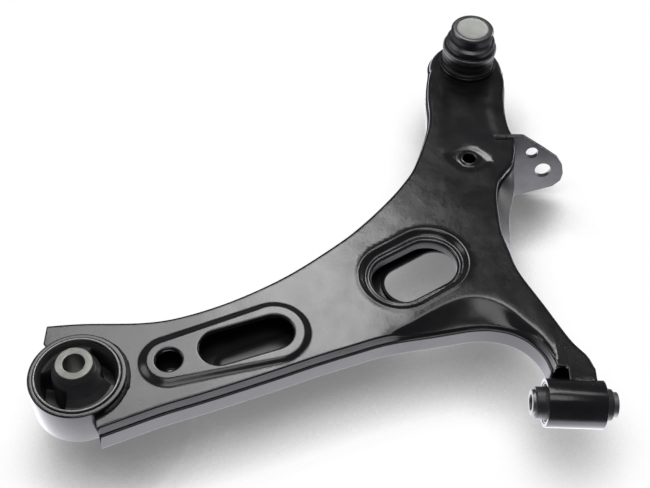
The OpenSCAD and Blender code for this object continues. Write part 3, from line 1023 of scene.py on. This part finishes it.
spin("end_plate", plate_profile, PLATE,
     "ball_housing", "ball_joint_end_plate", BC, r=[0, 0.2, 0.2, 0.3, 0.5, 1.5, 0])
spin("clamp_band", pipe(24.1, 25.3, -9, -4), BAND,
     "ball_cross_y", "boot_clamp_ring", BC, r=0.5)
spin("base_ring", pipe(24.5, 27, 0, 3), COAT,
     "arm", "boot_lower_ring", (BALL[0], BALL[1], TOP), r=0.8)

boot_out = smooth([
    [25.2, -24.0], [24.6, -22.4], [22.6, -21.2], [23.2, -19.6], [24.6, -18.0], [25.0, -15.8],
    [24.6, -13.4], [24.7, -11.2], [24.5, -9.2], [24.0, -8.0], [24.0, -3.6],
], 5)
boot_in = smooth([
    [20.8, -3.6], [20.8, -8.5], [22.4, -10.4], [22.8, -14], [22.6, -17], [20.6, -19.4],
    [20.4, -21.6], [22.6, -23.2], [23.8, -24.0],
], 5)


def boot_piece(name, lo, hi):
    """The part of the boot from lo to hi, with its placement baked into its mesh."""
    def within(p):
        return p[(p[:, 1] >= lo - 1e-6) & (p[:, 1] <= hi + 1e-6)]

    v_, f_ = lathe(np.vstack([within(boot_out), within(boot_in)]), BC)
    o_ = make(name, v_, f_, BOOT, None, "dust_boot")
    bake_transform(o_)


boot_piece("boot_lower", -24.0, -15.6)
boot_piece("boot_upper", -15.9, -3.6)

kept_nodes = {
    "ball_stud": STUD,
    "castle_nut": ZINC,
    "cotter_pin": ZINC,
    "ball_stud_boss": COAT,
    "ball_liner_lower": LINER,
    "ball_liner_upper": LINER,
    "preload_disc": ZINC,
}
for node, mat in kept_nodes.items():
    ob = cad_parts[node]
    ob.data.materials.clear()
    ob.data.materials.append(mat)

# ---------------------------------------------------------------- stage, light, camera
# The floor glows instead of being lit: its shade under the arm is ambient occlusion, leaning one way.
# Reflections of it fade with the length of the ray, so that the coat mirrors only the floor near it.
FLOOR_HALF = 6.0
floor_z = cad_box[0].z
fm, nt, b = tree("floor")
ao = add(nt, "ShaderNodeAmbientOcclusion", Distance=0.07)
lean = add(nt, "ShaderNodeCombineXYZ", X=-0.35, Y=0.62, Z=0.70)
nt.links.new(lean.outputs[0], ao.inputs["Normal"])
shade_stops = [(0.3, grey(0.16)), (0.6, grey(0.23)), (0.76, grey(0.5)), (0.92, grey(1.0))]
shade = ramp(nt, ao.outputs["AO"], shade_stops)
near = add(nt, "ShaderNodeAmbientOcclusion", Distance=0.035)
mirrored = ramp(nt, near.outputs["AO"], [(0.25, grey(0.2)), (0.6, grey(0.9)), (0.8, grey(1.0))])
b.inputs["Base Color"].default_value = (0, 0, 0, 1)
b.inputs["Roughness"].default_value = 0.9
b.inputs["Specular IOR Level"].default_value = 0.0
ray = add(nt, "ShaderNodeLightPath")
tint = mix(nt, ray.outputs["Is Camera Ray"], (0.98, 0.97, 1.04), (1.0, 1.0, 1.0))
product = add(nt, "ShaderNodeMix", data_type="RGBA", blend_type="MULTIPLY")
product.inputs["Factor"].default_value = 1.0
nt.links.new(mix(nt, ray.outputs["Is Camera Ray"], mirrored, shade), product.inputs["A"])
nt.links.new(tint, product.inputs["B"])
nt.links.new(product.outputs["Result"], b.inputs["Emission Color"])
reach_stops = [(0.095, grey(2.8)), (0.125, grey(0.8)), (0.16, grey(0.12))]
reach = ramp(nt, ray.outputs["Ray Length"], reach_stops)
strength = mix(nt, ray.outputs["Is Camera Ray"], reach, (1.0, 1.0, 1.0))
nt.links.new(strength, b.inputs["Emission Strength"])
me = bpy.data.meshes.new("floor")
square = [(-1, -1), (1, -1), (1, 1), (-1, 1)]
corners = [(x * FLOOR_HALF, y * FLOOR_HALF, floor_z) for x, y in square]
me.from_pydata(corners, [], [(0, 1, 2, 3)])
floor = bpy.data.objects.new("floor", me)
me.materials.append(fm)
bpy.context.scene.collection.objects.link(floor)
floor.visible_shadow = False

world = bpy.data.worlds.new("studio")
bpy.context.scene.world = world
world.use_nodes = True
nt = world.node_tree
nt.nodes.clear()
out = nt.nodes.new("ShaderNodeOutputWorld")
bg = nt.nodes.new("ShaderNodeBackground")
tc = nt.nodes.new("ShaderNodeTexCoord")
sep = nt.nodes.new("ShaderNodeSeparateXYZ")
nt.links.new(tc.outputs["Generated"], sep.inputs[0])
cr = nt.nodes.new("ShaderNodeValToRGB")
mr = nt.nodes.new("ShaderNodeMapRange")
mr.inputs["From Min"].default_value = -1
mr.inputs["From Max"].default_value = 1
nt.links.new(sep.outputs["Z"], mr.inputs["Value"])
nt.links.new(mr.outputs[0], cr.inputs["Fac"])
e = cr.color_ramp.elements
for _ in range(3):
    e.new(0.5)
sky_stops = [(0.0, 1.0), (0.17, 1.0), (0.27, 0.42), (0.35, 0.05), (1.0, 0.03)]
for el, (pos, val) in zip(e, sky_stops):
    el.position = pos
    el.color = (val * 0.98, val * 0.97, val * 1.08, 1)
lp = nt.nodes.new("ShaderNodeLightPath")
bg2 = nt.nodes.new("ShaderNodeBackground")
bg2.inputs["Color"].default_value = (1, 1, 1, 1)
bg2.inputs["Strength"].default_value = 1.0
mixs = nt.nodes.new("ShaderNodeMixShader")
nt.links.new(lp.outputs["Is Camera Ray"], mixs.inputs[0])
nt.links.new(cr.outputs["Color"], bg.inputs["Color"])
bg.inputs["Strength"].default_value = 3.2
nt.links.new(bg.outputs[0], mixs.inputs[1])
nt.links.new(bg2.outputs[0], mixs.inputs[2])
nt.links.new(mixs.outputs[0], out.inputs[0])


def area(name, loc, target, sx, sy, radiance):
    """A rectangular light of the given brightness, aimed at a point."""
    l = bpy.data.lights.new(name, "AREA")
    l.shape = "RECTANGLE"
    l.size, l.size_y = sx, sy
    l.energy = radiance * math.pi * sx * sy
    o_ = bpy.data.objects.new(name, l)
    bpy.context.scene.collection.objects.link(o_)
    o_.location = loc
    d = Vector(target) - Vector(loc)
    o_.rotation_euler = d.to_track_quat("-Z", "Y").to_euler()
    o_.visible_camera = False


FAR_AWAY = 4       # metres


def far(name, az, el, width, height, radiance):
    """A distant softbox, given by its bearing and elevation from the arm and its size in degrees."""
    a, e_ = math.radians(az), math.radians(el)
    aim = Vector((0.18, 0.12, 0))
    d = Vector((math.sin(a) * math.cos(e_), math.cos(a) * math.cos(e_), math.sin(e_)))
    sx = 2 * FAR_AWAY * math.tan(math.radians(width / 2))
    sy = 2 * FAR_AWAY * math.tan(math.radians(height / 2))
    area(name, aim + d * FAR_AWAY, aim, sx, sy, radiance)


far("back_softbox", -10, 57, 25, 17, 6.0)
far("back_core", -1, 54, 9, 11, 5.0)
far("left_key", -82, 36, 26, 26, 2.5)
far("right_rim", 55, -2, 24, 20, 6.0)
far("crest_light", 12, 72, 12, 7, 7.0)
far("crest_streak", 34, 65, 26, 9, 3.5)
far("overhead", 175, 82, 28, 20, 2.8)

cam = bpy.data.cameras.new("camera")
cam.lens = 60.92
cam.sensor_width = 36
cam_o = bpy.data.objects.new("camera", cam)
bpy.context.scene.collection.objects.link(cam_o)
right = (0.9993, 0.0166, 0.0330)
down = (0.0337, -0.7761, -0.6297)
fwd = (0.0152, 0.6304, -0.7762)
cam_o.matrix_world = Matrix((
    (right[0], -down[0], -fwd[0], 0.1702),
    (right[1], -down[1], -fwd[1], -0.4408),
    (right[2], -down[2], -fwd[2], 0.7271),
    (0, 0, 0, 1)))
cam.clip_start = 0.01
cam.clip_end = 50
bpy.context.scene.camera = cam_o
bpy.context.scene.view_settings.view_transform = "Standard"
